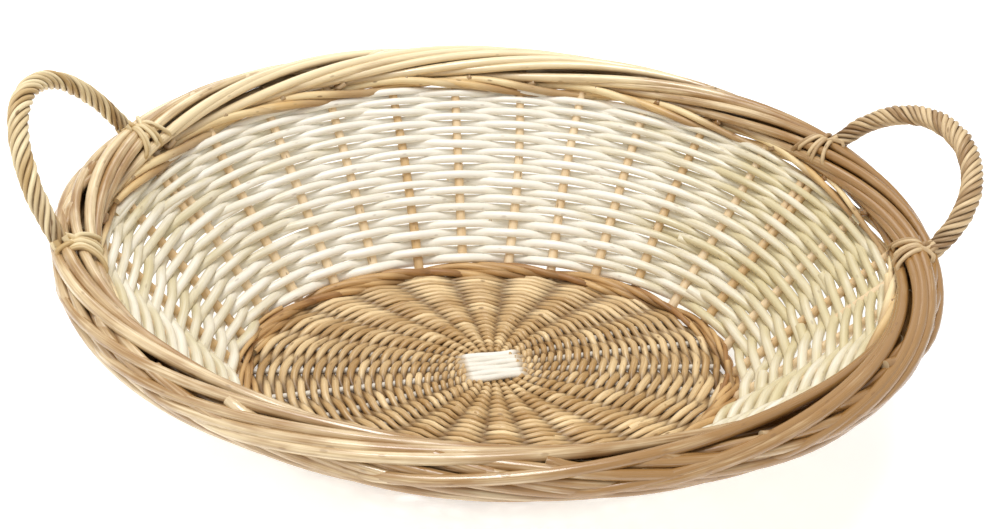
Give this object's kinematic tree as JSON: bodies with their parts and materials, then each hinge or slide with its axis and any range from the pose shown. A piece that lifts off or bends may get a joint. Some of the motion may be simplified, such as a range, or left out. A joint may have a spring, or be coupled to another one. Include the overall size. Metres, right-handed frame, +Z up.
{
  "type": "woven willow basket",
  "caption": "Wide, shallow oval willow basket with flaring randed sides, a rolled border, a round-woven stick base and roped loop handles at both ends.",
  "frame": {"origin": "middle of the whole outline, on the surface the basket stands on", "axes": "+X along the basket's long axis towards the right handle, +Y towards the back of the rim, +Z up"},
  "size_m": [0.5708, 0.4528, 0.1991],
  "materials": {
    "white_willow": "peeled white willow rods, satin, thin clear varnish",
    "white_stick": "peeled white sticks, nearly matt",
    "buff_willow": "buff willow rods, satin",
    "wale_willow": "darker buff willow rods, satin",
    "stake_willow": "buff willow stakes, satin",
    "border_willow": "buff willow rods rolled down, satin with a soft sheen",
    "left_rope_willow": "thin pale buff rods twisted together, satin",
    "right_rope_willow": "thin buff rods twisted together, satin"
  },
  "bodies": {
    "root": {"pierced_base_stick_1": "white_stick", "pierced_base_stick_2": "white_stick", "pierced_base_stick_3": "white_stick", "pierced_base_stick_4": "white_stick", "pierced_base_stick_5": "white_stick", "pierced_base_stick_6": "white_stick", "threaded_base_stick_1": "buff_willow", "threaded_base_stick_2": "buff_willow", "threaded_base_stick_3": "buff_willow", "threaded_base_stick_4": "buff_willow", "threaded_base_stick_5": "buff_willow", "threaded_base_stick_6": "buff_willow", "base_weave": "buff_willow", "foot_wale": "wale_willow", "stake_01": "stake_willow", "stake_02": "stake_willow", "stake_03": "stake_willow", "stake_04": "stake_willow", "stake_05": "stake_willow", "stake_06": "stake_willow", "stake_07": "stake_willow", "stake_08": "stake_willow", "stake_09": "stake_willow", "stake_10": "stake_willow", "stake_11": "stake_willow", "stake_12": "stake_willow", "stake_13": "stake_willow", "stake_14": "stake_willow", "stake_15": "stake_willow", "stake_16": "stake_willow", "stake_17": "stake_willow", "stake_18": "stake_willow", "stake_19": "stake_willow", "stake_20": "stake_willow", "stake_21": "stake_willow", "stake_22": "stake_willow", "stake_23": "stake_willow", "stake_24": "stake_willow", "stake_25": "stake_willow", "stake_26": "stake_willow", "stake_27": "stake_willow", "stake_28": "stake_willow", "stake_29": "stake_willow", "side_weave": "white_willow", "top_wale": "wale_willow", "border": "border_willow", "left_handle_bow": "stake_willow", "right_handle_bow": "stake_willow", "left_handle_rope": "left_rope_willow", "right_handle_rope": "right_rope_willow", "left_handle_lashing_back": "left_rope_willow", "left_handle_lashing_front": "left_rope_willow", "right_handle_lashing_back": "right_rope_willow", "right_handle_lashing_front": "right_rope_willow"}
  },
  "joints": []
}
